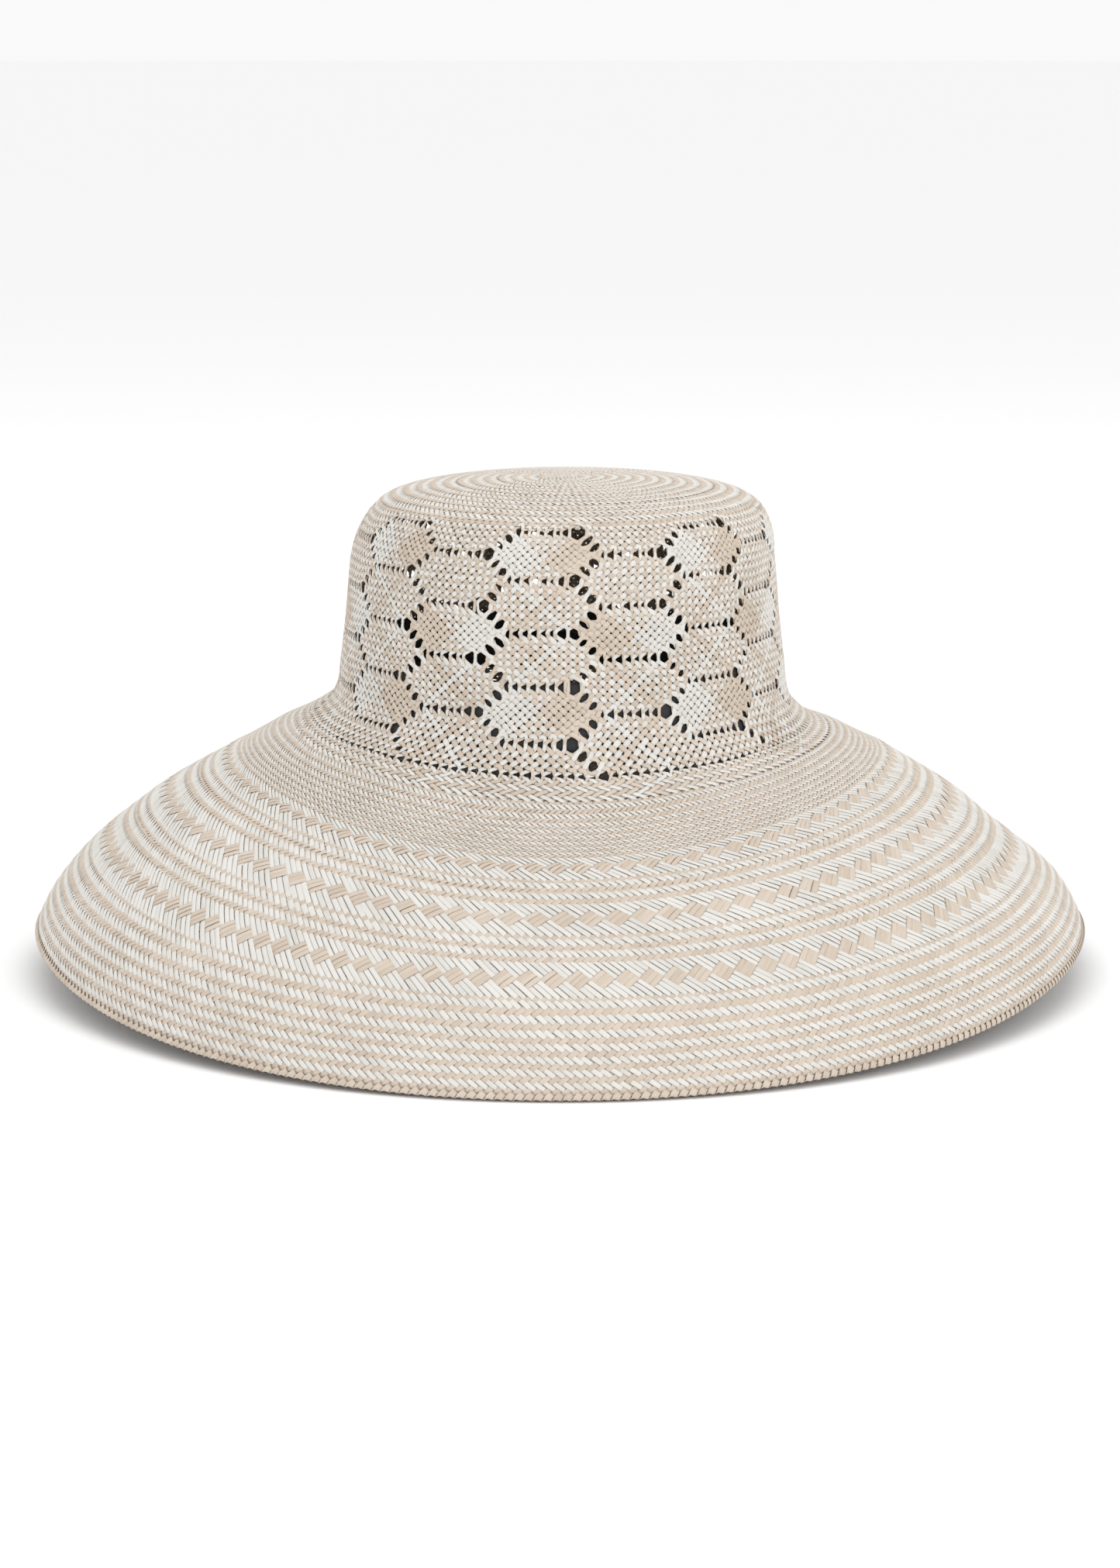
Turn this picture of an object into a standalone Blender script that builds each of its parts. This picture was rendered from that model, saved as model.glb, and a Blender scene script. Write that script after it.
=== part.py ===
"""Wide-brimmed woven palm-straw hat (panama hat) with an openwork crown band.

The hat is one weave of several hundred strands. Each zone of that weave, as a weaver
makes it from the crown's centre out to the brim's edge, is one closed shell here. The
sweatband and its trimmings are sewn inside the crown. Metres, +Z up, front at -Y.
"""
import math

import bpy
from mathutils import Vector

# Woven body
WALL = 0.0016            # thickness of the woven straw
GAP = 0.0003             # clearance between neighbouring pieces
HEAD_HALF_WIDTH = 0.088  # half width of the head oval
EXTRA_LENGTH = 0.010     # the oval's half length is this much more than its half width
COLUMNS = 16             # columns of openwork cells around the crown

# Half width and mean height of the body's middle surface, from crown centre to brim edge
PROFILE = [
    (0.0000, 0.1891), (0.0250, 0.1886), (0.0500, 0.1866), (0.0615, 0.1848), (0.0695, 0.1822),
    (0.0750, 0.1778), (0.0787, 0.1714), (0.0807, 0.1646), (0.0821, 0.1527), (0.0835, 0.1367),
    (0.0855, 0.1198), (0.0867, 0.1096), (0.0892, 0.1034), (0.0932, 0.0991), (0.0999, 0.0934),
    (0.1104, 0.0861), (0.1215, 0.0786), (0.1325, 0.0718), (0.1451, 0.0648), (0.1581, 0.0569),
    (0.1699, 0.0483), (0.1845, 0.0360), (0.1955, 0.0233), (0.2013, 0.0138), (0.2036, 0.0078),
]

# How far the brim rises at the sides and dips at front and back, by half width
BRIM_ROLL = [(0.084, 0.0), (0.110, 0.0070), (0.130, 0.0090), (0.160, 0.0090), (0.2036, 0.0065)]

# Lines of large openings in the openwork, as distances along the profile from the centre
EVEN_LINES = (0.0766, 0.0949, 0.1142, 0.1334, 0.1531)
ODD_LINES = (0.0839, 0.1025, 0.1215, 0.1401, 0.1611)
OPENING = 0.0040         # size of a large opening along the profile
OPENING_ANGLE = 2.6      # size of a large opening around the crown, degrees
OPENING_OFFSET = 7.9     # from a column's middle to its large openings, degrees
FIRST_COLUMN = -95.3     # direction of the front even column, degrees

# Zones of the weave: name, start and end along the profile, rows of faces, colour
WHITE = (0.86, 0.83, 0.78)
PALE = (0.82, 0.77, 0.70)
NATURAL = (0.74, 0.66, 0.57)
ZONES = [
    ("crown_top_weave", 0.0060, 0.0730, 6, PALE),
    ("brim_root_twill", 0.1645, 0.1985, 4, PALE),
    ("brim_diamond_band_inner", 0.1985, 0.2093, 1, WHITE),
    ("brim_twill_band_inner", 0.2093, 0.2222, 1, NATURAL),
    ("brim_diamond_band_middle", 0.2222, 0.2381, 2, WHITE),
    ("brim_twill_band_outer", 0.2381, 0.2510, 1, NATURAL),
    ("brim_diamond_band_outer", 0.2510, 0.2673, 2, WHITE),
    ("brim_outer_twill", 0.2673, 0.3010, 5, PALE),
]
OPENWORK_START = 0.0730
OPENWORK_END = 0.1645
START_RADIUS = 0.0060    # the first plait at the crown's centre

# Braided edge
EDGE_START = 0.3010
EDGE_THICKNESS = 0.0026
LAND = 0.0004            # the rim is level wherever it would rise by less than this

# Sweatband and its trimmings
BAND_THICKNESS = 0.0008
BAND_TOP = 0.1310        # distances along the profile
BAND_BOTTOM = 0.1555
LAP_HALF_ANGLE = 4.0     # the overlap of the band's ends at the back, degrees
THREAD_RADIUS = 0.00025
THREAD_LINE = 0.1532
BOW_WIDTH = 0.022
BOW_HEIGHT = 0.009
BOW_WAIST = 0.0024       # half height of the bow at its knot
BOW_THICKNESS = 0.0012
BOW_LINE = 0.1380
BLACK = (0.025, 0.024, 0.026)
THREAD_COLOUR = (0.30, 0.27, 0.24)

STEP = 0.0002            # step for measuring slopes


def clear_scene():
    """Remove whatever the file starts with."""
    for thing in list(bpy.data.objects):
        bpy.data.objects.remove(thing, do_unlink=True)


def interpolate(table, x):
    """Straight-line value of a table of pairs, held at its ends."""
    if x <= table[0][0]:
        return table[0][1]
    for (x0, y0), (x1, y1) in zip(table, table[1:]):
        if x <= x1:
            return y0 + (y1 - y0) * (x - x0) / (x1 - x0)
    return table[-1][1]


def profile_lengths():
    """Distance along the profile of each of its points."""
    lengths = [0.0]
    for (a0, z0), (a1, z1) in zip(PROFILE, PROFILE[1:]):
        lengths.append(lengths[-1] + math.hypot(a1 - a0, z1 - z0))
    return lengths


LENGTHS = profile_lengths()


def slope_at(index, axis):
    """Slope of one profile coordinate at a profile point, from its neighbours."""
    low = max(index - 1, 0)
    high = min(index + 1, len(PROFILE) - 1)
    return (PROFILE[high][axis] - PROFILE[low][axis]) / (LENGTHS[high] - LENGTHS[low])


def profile_at(s):
    """Half width and mean height at a distance along the profile, on a smooth curve."""
    index = 0
    while index < len(PROFILE) - 2 and s > LENGTHS[index + 1]:
        index += 1
    span = LENGTHS[index + 1] - LENGTHS[index]
    t = (s - LENGTHS[index]) / span
    values = []
    for axis in (0, 1):
        y0 = PROFILE[index][axis]
        y1 = PROFILE[index + 1][axis]
        m0 = slope_at(index, axis) * span
        m1 = slope_at(index + 1, axis) * span
        values.append((2 * t**3 - 3 * t**2 + 1) * y0 + (t**3 - 2 * t**2 + t) * m0
                      + (3 * t**2 - 2 * t**3) * y1 + (t**3 - t**2) * m1)
    return values


def surface(s, angle):
    """Point on the body's middle surface."""
    half_width, height = profile_at(s)
    half_length = half_width + EXTRA_LENGTH * min(half_width / HEAD_HALF_WIDTH, 1.0)
    rise = interpolate(BRIM_ROLL, half_width) * math.cos(2 * angle)
    return Vector((half_width * math.cos(angle), half_length * math.sin(angle), height + rise))


def outward(s, angle):
    """Unit normal of the middle surface, pointing up and out."""
    along = surface(s + STEP, angle) - surface(s - STEP, angle)
    around = surface(s, angle + STEP) - surface(s, angle - STEP)
    normal = along.cross(around)
    return normal.normalized()


def offset_point(s, angle, offset):
    """Point at a distance outward from the middle surface."""
    return surface(s, angle) + outward(s, angle) * offset


def around_angles():
    """Directions of the grid lines: two at each column's openings and three between them."""
    pitch = 360.0 / COLUMNS
    angles = []
    for column in range(COLUMNS):
        opening = FIRST_COLUMN + pitch * column + OPENING_OFFSET
        start = opening + OPENING_ANGLE / 2
        step = (pitch - OPENING_ANGLE) / 4
        angles.append(opening - OPENING_ANGLE / 2)
        angles.extend(start + step * k for k in range(4))
    return [math.radians(a) for a in angles]


def material(name, colour, roughness):
    """Plain Principled material."""
    made = bpy.data.materials.new(name)
    made.use_nodes = True
    shader = made.node_tree.nodes["Principled BSDF"]
    shader.inputs["Base Color"].default_value = (*colour, 1.0)
    shader.inputs["Roughness"].default_value = roughness
    return made


def add_object(name, points, faces, colour, roughness=0.8, smooth=True):
    """Make one named mesh object."""
    mesh = bpy.data.meshes.new(name)
    mesh.from_pydata([tuple(p) for p in points], [], faces)
    mesh.validate()
    for face in mesh.polygons:
        face.use_smooth = smooth
    made = bpy.data.objects.new(name, mesh)
    made.data.materials.append(material(name, colour, roughness))
    bpy.context.scene.collection.objects.link(made)
    return made


def even_steps(start, end, count):
    """Evenly spaced values from start to end, both included."""
    return [start + (end - start) * k / count for k in range(count + 1)]


def closed_sheet(grid_out, grid_in, is_open, wraps):
    """Faces of a sheet with thickness, from its outer and inner grids of point numbers.

    Each cell for which is_open(row, column) holds is left out, and walls close its sides.
    """
    rows = len(grid_out) - 1
    columns = len(grid_out[0]) if wraps else len(grid_out[0]) - 1
    total = len(grid_out[0])

    def solid(row, column):
        if row < 0 or row >= rows:
            return False
        if wraps:
            column %= columns
        elif column < 0 or column >= columns:
            return False
        return not is_open(row, column)

    faces = []
    for row in range(rows):
        for column in range(columns):
            if not solid(row, column):
                continue
            right = (column + 1) % total
            corners = [(row, column), (row + 1, column), (row + 1, right), (row, right)]
            top = [grid_out[r][c] for r, c in corners]
            under = [grid_in[r][c] for r, c in corners]
            faces.append(top)
            faces.append(under[::-1])
            neighbours = [(row, column - 1), (row + 1, column), (row, column + 1), (row - 1, column)]
            for side, neighbour in enumerate(neighbours):
                if not solid(*neighbour):
                    after = (side + 1) % 4
                    faces.append([top[after], top[side], under[side], under[after]])
    return faces


def ring(name, stations, angles, outer, inner, colour, is_open=lambda row, column: False):
    """Closed ring between two offsets from the middle surface, through the given stations."""
    points = []
    grids = []
    for offset in (outer, inner):
        grid = []
        for s in stations:
            first = len(points)
            points.extend(offset_point(s, angle, offset) for angle in angles)
            grid.append(list(range(first, len(points))))
        grids.append(grid)
    return add_object(name, points, closed_sheet(*grids, is_open, True), colour)


def start_disc(angles):
    """The first plait: a small closed disc at the crown's centre."""
    points = []
    loops = []
    for offset in (WALL / 2, -WALL / 2):
        first = len(points)
        for angle in angles[::5]:
            points.append(offset_point(START_RADIUS - GAP, angle, offset))
        loops.append(list(range(first, len(points))))
    top, under = loops
    faces = [top[:], under[::-1]]
    for k, corner in enumerate(top):
        after = (k + 1) % len(top)
        faces.append([top[after], corner, under[k], under[after]])
    return add_object("crown_start_plait", points, faces, PALE)


def weave_zones(angles):
    """The plain zones of the crown's top and of the brim."""
    for name, start, end, rows, colour in ZONES:
        stations = even_steps(start + GAP / 2, end - GAP / 2, rows)
        ring(name, stations, angles, WALL / 2, -WALL / 2, colour)


def openwork_stations():
    """Stations down the openwork, and which rows of faces hold openings in which columns."""
    stations = [OPENWORK_START + GAP / 2]
    open_rows = {}
    for s, parity in sorted([(s, 0) for s in EVEN_LINES] + [(s, 1) for s in ODD_LINES]):
        open_rows[len(stations)] = parity
        stations.extend((s - OPENING / 2, s + OPENING / 2))
    stations.append(OPENWORK_END - GAP / 2)
    return stations, open_rows


def openwork_band(angles):
    """The crown's side, pierced by a large opening at each corner of its six-sided cells."""
    stations, open_rows = openwork_stations()
    per_column = len(angles) // COLUMNS

    def is_open(row, column):
        at_opening = column % per_column == 0
        return at_opening and open_rows.get(row) == (column // per_column) % 2

    ring("crown_openwork_band", stations, angles, WALL / 2, -WALL / 2, PALE, is_open)


def rim_height(angle):
    """Height of the rim's underside: level at front and back, rising to the sides."""
    rise = BRIM_ROLL[-1][1] * (1 + math.cos(2 * angle))
    return max(0.0, rise - LAND)


def edge_braid(angles):
    """The braid that finishes the brim, with a level underside to rest on."""
    half = EDGE_THICKNESS / 2
    sections = [(EDGE_START + GAP / 2, half * 0.6), (EDGE_START + 0.0015, half), (LENGTHS[-1], half)]
    points = []
    grids = []
    for side in (1, -1):
        grid = []
        for s, offset in sections:
            first = len(points)
            points.extend(offset_point(s, angle, side * offset) for angle in angles)
            grid.append(list(range(first, len(points))))
        foot = grid[-1]
        for number, angle in zip(foot, angles):
            points[number].z = rim_height(angle)
        grids.append(grid)
    faces = closed_sheet(*grids, lambda row, column: False, True)
    return add_object("brim_edge_braid", points, faces, NATURAL)


def sweatband(angles):
    """Ribbon inside the crown's base, on the same stations as the wall behind it."""
    outer = -WALL / 2 - GAP
    stations = [s for s in openwork_stations()[0] if BAND_TOP < s < BAND_BOTTOM]
    ring("sweatband", stations, angles, outer, outer - BAND_THICKNESS, BLACK)


def sweatband_lap():
    """The band's free end, lapped over its start at the back."""
    outer = -WALL / 2 - 2 * GAP - BAND_THICKNESS
    middle = math.pi / 2
    half = math.radians(LAP_HALF_ANGLE)
    lap_angles = even_steps(middle - half, middle + half, 4)
    stations = [s for s in openwork_stations()[0] if BAND_TOP < s < THREAD_LINE]
    points = []
    grids = []
    for offset in (outer, outer - BAND_THICKNESS):
        grid = []
        for s in stations:
            first = len(points)
            points.extend(offset_point(s, angle, offset) for angle in lap_angles)
            grid.append(list(range(first, len(points))))
        grids.append(grid)
    faces = closed_sheet(*grids, lambda row, column: False, False)
    add_object("sweatband_lap", points, faces, BLACK)


def sweatband_stitching(angles):
    """The run of thread that sews the band in, as one closed loop."""
    depth = -WALL / 2 - 2 * GAP - BAND_THICKNESS - THREAD_RADIUS
    sides = 6
    points = []
    for angle in angles:
        centre = offset_point(THREAD_LINE, angle, depth)
        out = outward(THREAD_LINE, angle)
        along = (surface(THREAD_LINE + STEP, angle) - surface(THREAD_LINE - STEP, angle)).normalized()
        for k in range(sides):
            turn = 2 * math.pi * k / sides
            points.append(centre + (out * math.cos(turn) + along * math.sin(turn)) * THREAD_RADIUS)
    faces = []
    count = len(angles)
    for i in range(count):
        for k in range(sides):
            here = i * sides
            there = (i + 1) % count * sides
            k2 = (k + 1) % sides
            faces.append([here + k, here + k2, there + k2, there + k])
    add_object("sweatband_stitching", points, faces, THREAD_COLOUR)


def sweatband_bow():
    """Small flat bow that marks the back of the hat."""
    half = BOW_WIDTH / 2
    tall = BOW_HEIGHT / 2
    outline = [(-half, -tall), (-half * 0.3, -BOW_WAIST), (half * 0.3, -BOW_WAIST), (half, -tall),
               (half, tall), (half * 0.3, BOW_WAIST), (-half * 0.3, BOW_WAIST), (-half, tall)]
    depth = -WALL / 2 - 3 * GAP - 2 * BAND_THICKNESS
    middle = offset_point(BOW_LINE, math.pi / 2, depth)
    sag = 0.0009
    points = []
    for thickness in (0.0, BOW_THICKNESS):
        points.extend(Vector((x, middle.y - sag - thickness, middle.z + z)) for x, z in outline)
    count = len(outline)
    faces = [list(range(count))[::-1], list(range(count, 2 * count))]
    for k in range(count):
        after = (k + 1) % count
        faces.append([k, after, after + count, k + count])
    add_object("sweatband_bow", points, faces, BLACK, smooth=False)


def build():
    """Make every piece of the hat."""
    clear_scene()
    angles = around_angles()
    start_disc(angles)
    weave_zones(angles)
    openwork_band(angles)
    edge_braid(angles)
    sweatband(angles)
    sweatband_lap()
    sweatband_stitching(angles)
    sweatband_bow()


build()
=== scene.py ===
"""Looks of the woven straw hat: every strand of the weave is a closed ribbon of its own.

White strands start leaning one way and natural ones the other. A strand goes over or under
at each crossing as the pattern of its row says, so the stripes and diamonds come from the
weave itself. On the openwork's lines two strands turn round each other and both go back,
which opens the holes and mixes the colours. Lengths are mm until a mesh is made.
"""
import math
from collections import namedtuple

import bpy
import numpy as np
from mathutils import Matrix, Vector


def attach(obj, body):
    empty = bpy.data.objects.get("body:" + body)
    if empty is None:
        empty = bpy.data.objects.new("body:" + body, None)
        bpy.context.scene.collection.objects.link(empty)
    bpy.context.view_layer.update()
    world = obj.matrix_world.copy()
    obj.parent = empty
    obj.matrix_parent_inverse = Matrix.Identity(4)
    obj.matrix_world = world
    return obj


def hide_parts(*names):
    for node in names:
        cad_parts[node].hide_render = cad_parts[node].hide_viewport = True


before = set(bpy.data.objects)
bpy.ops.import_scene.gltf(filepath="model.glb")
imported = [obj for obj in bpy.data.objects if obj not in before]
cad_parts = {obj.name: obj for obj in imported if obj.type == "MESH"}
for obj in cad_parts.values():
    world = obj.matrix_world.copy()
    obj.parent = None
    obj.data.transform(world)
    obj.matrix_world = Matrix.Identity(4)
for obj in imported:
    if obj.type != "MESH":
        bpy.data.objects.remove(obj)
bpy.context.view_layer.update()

MM = 0.001
TINY = 1e-12              # keeps a divisor from being nought

# ---- Body: half width and mean height, from the crown's centre to the brim's edge
PROFILE = np.array([
    (0.0, 189.1), (25.0, 188.6), (50.0, 186.6), (61.5, 184.8), (69.5, 182.2),
    (75.0, 177.8), (78.7, 171.4), (80.7, 164.6), (82.1, 152.7), (83.5, 136.7),
    (85.5, 119.8), (86.7, 109.6), (89.2, 103.4), (93.2, 99.1), (99.9, 93.4),
    (110.4, 86.1), (121.5, 78.6), (132.5, 71.8), (145.1, 64.8), (158.1, 56.9),
    (169.9, 48.3), (184.5, 36.0), (195.5, 23.3), (201.3, 13.8), (203.6, 7.8),
])
ROLL_AT = (84.0, 110.0, 130.0, 160.0, 203.6)   # half widths where the brim's rise is given
ROLL = (0.0, 7.0, 9.0, 9.0, 6.5)               # rise at the sides, dip at front and back
HEAD_HALF_WIDTH = 88.0
EXTRA_LENGTH = 10.0
LEAN_AT = (98.0, 112.0, 160.0, 178.0)          # heights where the crown's lean is given
LEAN = (0.0, 0.9, 1.0, 3.0)                    # how far the crown leans to the right there
# half widths where the right side's drop is given, and the drop there
DROP_AT = (84.0, 98.0, 112.0, 128.0, 145.0, 160.0, 173.0, 183.0, 195.0)
DROP = (0.0, 3.6, 2.0, 0.8, 1.6, 2.4, 3.8, 3.2, 0.0)
RIM_ZONE = (165.0, 200.0)                      # the rim's own unevenness grows in here
RIM_SIDE_LIFT = 2.6
RIM_CORNER_DROP = 1.5
FRONT_COLUMN = math.radians(-95.3)             # middle of the front openwork column
WALL_FACE = 1.1                                # the sweatband's outer face, inward of the body
STEP_DOWN = 0.2           # steps that find the surface's directions: down the profile
STEP_AROUND = 0.002       # and around it, in radians
# slow waves of the rows: height, waves once around, turn per mm down the profile, start
WAVES = ((0.16, 5, 0.05, 0.0), (0.10, 11, -0.09, 1.3), (0.07, 23, 0.21, 0.0))

# ---- Strands
THICKNESS = 0.38
WEAVE_DEPTH = 0.26        # a strand's middle rides this far above or below the body's surface
MAX_WIDTH = 2.4
RIGHT_TIGHTNESS = 0.05    # share by which strands are wider on the right, and slimmer on the left
TAIL = 1.4                # rows that a strand runs on, tucked under the next block
TUCK = 0.75               # depth of a tail's end
EXTRA_ROWS = 2            # rows followed beyond a block, so that its tails have a course
PLACE_JITTER = 0.03       # chance in a strand's place, in strand spacings
WIDTH_JITTER = 0.04       # chance in a strand's width, as a share of it
SECTION = ((0.50, -0.05), (0.39, 0.36), (0.0, 0.48), (-0.39, 0.36), (-0.50, -0.05), (0.0, -0.5))
CROWN_TOP = ("top_1", "top_2", "top_3", "top_4", "top_5")
PAINTED_SHADE_BLOCKS = CROWN_TOP + ("openwork", "root")     # blocks with painted shade on their inner face, a brown darkening for the shade inside the crown
# painted shade: brown tint multiplied into the straw's colour on the inner face, for the shade
# inside the crown
PAINTED_SHADE_TINT = (0.42, 0.30, 0.17)
DIAMOND_LIFT = 0.08       # natural strands ride higher, and white ones lower, in the diamond rows
SEED = 11
BLOCK_SEED_STEP = 7

# ---- Openwork: cells repeat every 20 strands, and their lines every 12 rows
PERIOD = 20
LINE_ROWS = 12
LAST_LINE = 54
TWIST_FRONT = 0.20        # how far the front strand of a twist bows out, in strand spacings
TWIST_BACK = 0.02
TWIST_WIDTH = 0.55        # share of its width that a strand keeps in a twist
LINE_REACH = 3.2          # strands from the middle of a line to its last twist
LINE_HALF = 3.5           # strands from the middle of a line to the hole at its end
SMALL_PLACES = (-2.5, -1.5, -0.5, 0.5, 1.5)
Hole = namedtuple("Hole", "reach stretch lean corners sharpness")
BIG_HOLE = Hole(3.15, 1.0, 0, 6, 0.05)
LINE_END_HOLE = Hole(2.3, 1.05, 0, 3, 0.15)
SMALL_HOLE = Hole(1.75, 0.85, 0, 3, 0.33)      # points left, like an arrowhead
SLOT_HOLE = Hole(1.9, 0.70, 0, 3, 0.2)
RISING_HOLE = Hole(2.4, 1.16, -45, 6, 0.0)     # long axis turned from level, in degrees
FALLING_HOLE = Hole(2.4, 1.16, 45, 6, 0.0)
HOLE_CORE = 0.05          # nearest that a point counts as being to a hole's middle
HOLE_SPREAD = 1.5         # a hole pushes strands this many times its reach away
HOLE_MARGIN = 1.2         # and this much farther
HOLE_UNEVENNESS = 0.2
UNEVEN_BY = (12.9, 4.1, 7.7)   # how unevenness changes with the repeat, the place and the row
FULL_CROWD = 2.0          # a hole with this reach crowds the strands beside it fully
CROWD_SQUEEZE = 0.14      # share of its width that a crowded strand loses
LINE_OPEN = 0.68          # the last line is open where it faces front or back at least this much,
LINE_CLOSED = 0.55        # and pulled shut where it faces them less than this
LINE_SIZE = 0.8           # size of its open holes, as a share of the other lines' holes
LINE_SHUT = 0.05          # and of its shut ones
SIDE_TIGHTNESS = 0.25     # share by which holes are smaller at the sides than at front and back
BACK_TIGHTNESS = 0.65     # share of the strands' waist that is gone at the back

Block = namedtuple("Block", "count first samples rows fill waist lift pattern")
BAND = "WWW01210WWW"      # three white rows, five rows of diamonds and three white rows
TOP_FILL = [(0, 0.94, 1.04)]
BRIM_FILL = [(0, 0.96, 1.07)]
# rows: (row, distance along the profile); fill: (row, white, natural) share of the spacing;
# waist: how much slimmer a strand is halfway between crossings; lift: how much higher white rides
BLOCKS = {
    "top_1": Block(32, 0, 2, [(0, 5.0), (7, 14.0)], TOP_FILL, 0.16, 0.0, "BBWWBBWW"),
    "top_2": Block(64, 0, 2, [(0, 15.2), (9, 26.6)], TOP_FILL, 0.16, 0.0, "BBWWBBWWBB"),
    "top_3": Block(96, 0, 2, [(0, 27.9), (11, 42.2)], TOP_FILL, 0.16, 0.0, "WWBBWWBBWWBB"),
    "top_4": Block(128, 0, 2, [(0, 43.5), (9, 55.4)], TOP_FILL, 0.16, 0.0, "WWBBWWBBWW"),
    "top_5": Block(160, 0, 2, [(0, 56.7), (12, 72.2)], TOP_FILL, 0.16, 0.0, "BBWWBBWWBBWWB"),
    "openwork": Block(
        160, -2, 4,
        [(-2, 73.6), (0, 76.6), (12, 94.9), (24, 114.2), (36, 133.4), (48, 153.1), (54, 164.5),
         (63, 173.6)],
        [(-1, 0.94, 1.0), (0.5, 0.95, 0.95), (54.5, 0.95, 0.95), (56, 0.96, 1.04)], 0.26, 0.0,
        "B" + "WB" * 28 + "WBBWWBBWW"),
    "root": Block(
        300, 0, 2,
        [(0, 174.8), (9.5, 183.7), (21.5, 192.1), (29.5, 196.6), (33, 198.9), (38, 202.7),
         (43, 208.7), (45.5, 212.0), (47, 214.3)],
        [(0, 0.90, 1.04), (31, 0.86, 1.04), (33, 0.96, 1.08)], 0.08, 0.0,
        "B" + "WWBB" * 8 + BAND + "BWWB"),
    "middle": Block(
        312, 0, 2,
        [(0, 215.8), (1.5, 218.0), (3.5, 221.0), (5, 222.9), (10, 229.6), (15, 237.3),
         (17.5, 241.4), (19, 243.6)],
        BRIM_FILL, 0.0, 0.06, "BWWBB" + BAND + "BWWB"),
    "outer": Block(
        396, 0, 2,
        [(0, 245.0), (1.5, 247.0), (3.5, 250.0), (5, 251.7), (10, 258.9), (15, 266.5),
         (17.5, 269.9), (21.5, 276.1), (25.5, 281.9), (29.5, 286.9), (33.5, 291.7),
         (37.5, 296.2), (41.5, 300.8), (43, 302.4)],
        BRIM_FILL, 0.0, 0.06, "BWWBB" + BAND + "B" + "WWBB" * 6 + "WWB"),
}
DIAMOND_REACH = {"0": 0.1, "1": 0.6, "2": 1.1}   # strands from a diamond's centre to its side
DIAMOND_PERIOD = 3
# pieces of one block each: block, CAD nodes, material slot, sectors around the hat
ZONES = (
    ("openwork", ["crown_openwork_band"], "openwork_straw", 3),
    ("root", ["brim_root_twill", "brim_diamond_band_inner"], "root_straw", 2),
    ("middle", ["brim_twill_band_inner", "brim_diamond_band_middle"], "diamond_middle_straw", 1),
    ("outer", ["brim_twill_band_outer", "brim_diamond_band_outer", "brim_outer_twill"],
     "outer_straw", 3),
)

# ---- Rim; places named LINE, TOP, MIDDLE or BOTTOM are distances along the profile
RIM_LINE = 304.8
RIM_RADIUS = 0.6
RIM_WRAP = 1.3            # how far the wraps run back from the rim on each side
RIM_BENDS = 7             # points of a wrap round the rim
RIM_UPPER_END = (0.4, 0.55)
RIM_LOWER_END = (-0.6, -0.5)
RIM_SLANT = 3.3           # length of wrap that goes one strand sideways
RIM_WIDTH = 2.65
RIM_THICKNESS = 0.3
CORE_LINE = 304.4
CORE_WIDTH = 0.8
CORE_THICKNESS = 0.6
CORE_POINTS = 360

# ---- Plaited start
START_STRANDS = 10
START_SPACING = 1.45
START_MARGIN = 0.6
START_FILL = 0.95
START_SAMPLES = 4         # points of a strand for each strand that it crosses
START_LIFT = 0.45
START_WAVE = 0.2
START_TUCK = 0.9          # how much lower the plait's edge lies
START_TUCK_REACH = 1.6

# ---- Sweatband, its lap and its stitches
BAND_TOP = 131.4
BAND_MIDDLE = 143.2
BAND_BOTTOM = 155.1
BAND_THICKNESS = 0.8
BAND_ROWS = 9
EDGE_ROUNDING = 0.25
RIB = 0.05                # height of the ribbon's ribs
RIBS = 700
LAP_HALF_ANGLE = 4.0
LAP_GAP = 0.3
LAP_MARGIN = 0.7          # the lap ends this far above the thread
LAP_COLUMNS = 33
THREAD_LINE = 153.2
THREAD_WIDTH = 0.5
STITCHES = 170
STITCH_POINTS = 7
STITCH_FILL = 0.62        # share of the round that shows thread
STITCH_RISE = 0.1
STITCH_DIP = 0.9          # how far a stitch's ends go into the band

# ---- Bow
BOW_LINE = 138.0
BOW_HALF_WIDTH = 11.0
BOW_HALF_HEIGHT = 4.5
BOW_POINTS = 17
BOW_GAP = 0.4
BOW_LIFT = 0.15
BOW_BULGE = 1.1
BOW_PINCH = 0.35          # share of its height that a loop has at the knot
BOW_FULLNESS = 0.8
BOW_SAG = 0.5
BOW_THICKNESS = 0.3
KNOT_POINTS = 14
KNOT_LIFT = 0.7
KNOT_HALF_HEIGHT = 2.6
KNOT_HALF_DEPTH = 1.0
KNOT_WIDTH = 4.2
KNOT_THICKNESS = 0.35

# ---- Materials
FIBRE_SCALE = (0.16, 5.0, 37.0)   # fibres along a strand, across it, and from strand to strand
FIBRE_NOISE = {"Scale": 1.0, "Detail": 3.0, "Roughness": 0.6}
PATCH_NOISE = {"Scale": 26.0, "Detail": 2.0}
CLOTH_NOISE = {"Detail": 4.0, "Roughness": 0.7}
STRAND_TONE = 0.25
PATCH_TONE = 0.35
STRAW_STOPS = (0.45, 0.76, 1.0)   # where the dark, middle and light straw colours lie
CLOTH_STOPS = (0.3, 0.7)
STRAW_ROUGHNESS = (-0.10, 0.12)   # how far roughness goes below and above a material's own
CLOTH_ROUGHNESS = (-0.08, 0.1)
STRAW_RELIEF = (0.35, 0.00006)    # strength, and depth in metres
CLOTH_RELIEF = (0.5, 0.00008)
STRAW_SHINE = 0.3
CLOTH_SHEEN = 0.15
MIX_FACTOR, MIX_A, MIX_B, MIX_RESULT = 0, 6, 7, 2   # the mix node's sockets for colours

# ---- Stage, lights and camera, in metres
FLOOR_RADIUS = 60.0
FLOOR_CORNERS = 96
FLOOR_COLOUR = (0.97, 0.97, 0.97, 1)
FLOOR_ROUGHNESS = 0.9
WORLD_STRENGTH = 0.95
LIGHT_AIM = Vector((0, 0, 0.08))
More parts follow.
